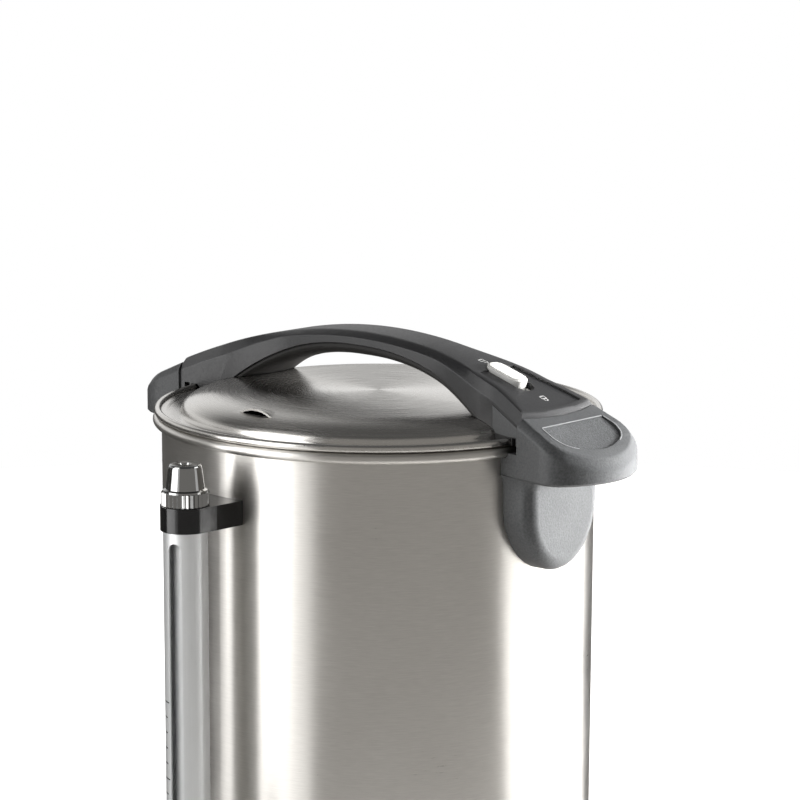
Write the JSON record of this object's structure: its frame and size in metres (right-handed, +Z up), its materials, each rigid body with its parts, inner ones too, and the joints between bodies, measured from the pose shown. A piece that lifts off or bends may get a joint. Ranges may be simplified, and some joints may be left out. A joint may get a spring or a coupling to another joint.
{
  "type": "coffee urn",
  "caption": "Tall round steel coffee urn with an arched lid handle and sliding lid lock, side handles, sight gauge, lever tap and a percolator basket inside.",
  "frame": {"origin": "centre of the body on the plane the feet stand on", "axes": "+Z up along the body, -Y towards the gauge and the tap, +X towards the lid lock"},
  "size_m": [0.322, 0.3523, 0.4385],
  "materials": {
    "brushed_steel": "stainless sheet with a fine brushed grain",
    "steel": "plain stainless or plated steel",
    "black_plastic": "matte black moulding",
    "gloss_black": "glossy black moulding",
    "charcoal": "fine-textured charcoal moulding",
    "handle_grey": "fine-textured mid-grey moulding",
    "white_plastic": "smooth white moulding",
    "chrome": "polished plating",
    "satin_aluminium": "satin tube",
    "glass": "clear tube",
    "silicone": "pale food-grade silicone",
    "rubber": "black non-slip rubber",
    "brass": "plain brass",
    "wire_jacket": "heat-proof wire jacket",
    "lamp_red": "clear red lens"
  },
  "bodies": {
    "urn": {"body_shell": "brushed_steel", "tank_floor": "steel", "base_housing": "black_plastic", "base_plate": "black_plastic", "rubber_feet": "rubber", "base_screws": "steel", "boil_heater": "steel", "warm_heater": "steel", "heater_clamp": "steel", "clamp_studs": "steel", "clamp_nuts": "steel", "thermostat": "black_plastic", "thermal_fuse": "brass", "power_inlet": "black_plastic", "inlet_pins": "brass", "switch_housing": "black_plastic", "supply_wires": "wire_jacket", "indicator_lens": "lamp_red", "side_handle_right": "handle_grey", "side_handle_left": "handle_grey", "wall_screws": "steel", "wall_washers": "silicone", "gauge_collar": "gloss_black", "gauge_guard": "satin_aluminium", "gauge_glass": "glass", "gauge_seal_top": "silicone", "gauge_seal_bottom": "silicone", "tap_shank": "chrome", "shank_nut": "steel", "shank_washers": "silicone", "tap_body": "gloss_black", "tap_bonnet": "gloss_black", "lever_pin": "steel", "tap_spring": "steel"},
    "lid": {"lid_shell": "brushed_steel", "lid_handle": "charcoal", "lid_grip": "black_plastic", "lid_screws": "steel", "grip_screws": "steel"},
    "lock": {"lock_slider": "white_plastic", "latch_bolt": "steel"},
    "cap": {"gauge_cap": "chrome"},
    "lever": {"tap_lever": "gloss_black"},
    "valve": {"tap_stem": "steel", "seat_cup": "silicone"},
    "rocker": {"switch_rocker": "gloss_black"},
    "percolator": {"pump_foot": "steel", "pump_tube": "steel", "filter_basket": "steel", "basket_cover": "steel"}
  },
  "joints": [
    {"name": "lid_lift", "type": "slide", "parent": "urn", "child": "lid", "axis": [0, 0, 1], "range_m": [0, 0.15]},
    {"name": "lock_slide", "type": "slide", "parent": "lid", "child": "lock", "axis": [0.9544, 0, -0.2987], "range_m": [0, 0.005]},
    {"name": "tap_lever_turn", "type": "hinge", "parent": "urn", "child": "lever", "pos_m": [0, -0.1912, 0.1495], "axis": [1, 0, 0], "range_deg": [0, 22], "stiffness_Nm_per_rad": 0.5, "springref_deg": -20.05, "deforming": ["tap_spring"]},
    {"name": "valve_slide", "type": "slide", "parent": "urn", "child": "valve", "axis": [0, 0, 1], "range_m": [0, 0.0043]},
    {"name": "gauge_cap_turn", "type": "hinge", "parent": "urn", "child": "cap", "pos_m": [0, -0.1402, 0.37], "axis": [0, 0, 1], "continuous": true},
    {"name": "rocker_tilt", "type": "hinge", "parent": "urn", "child": "rocker", "pos_m": [0, -0.1166, 0.042], "axis": [1, 0, 0], "range_deg": [0, 14]},
    {"name": "percolator_lift", "type": "slide", "parent": "urn", "child": "percolator", "axis": [0, 0, 1], "range_m": [0, 0.008]}
  ],
  "couplings": [
    {"joint": "valve_slide", "follows": "tap_lever_turn", "m_per_rad": 0.011}
  ]
}
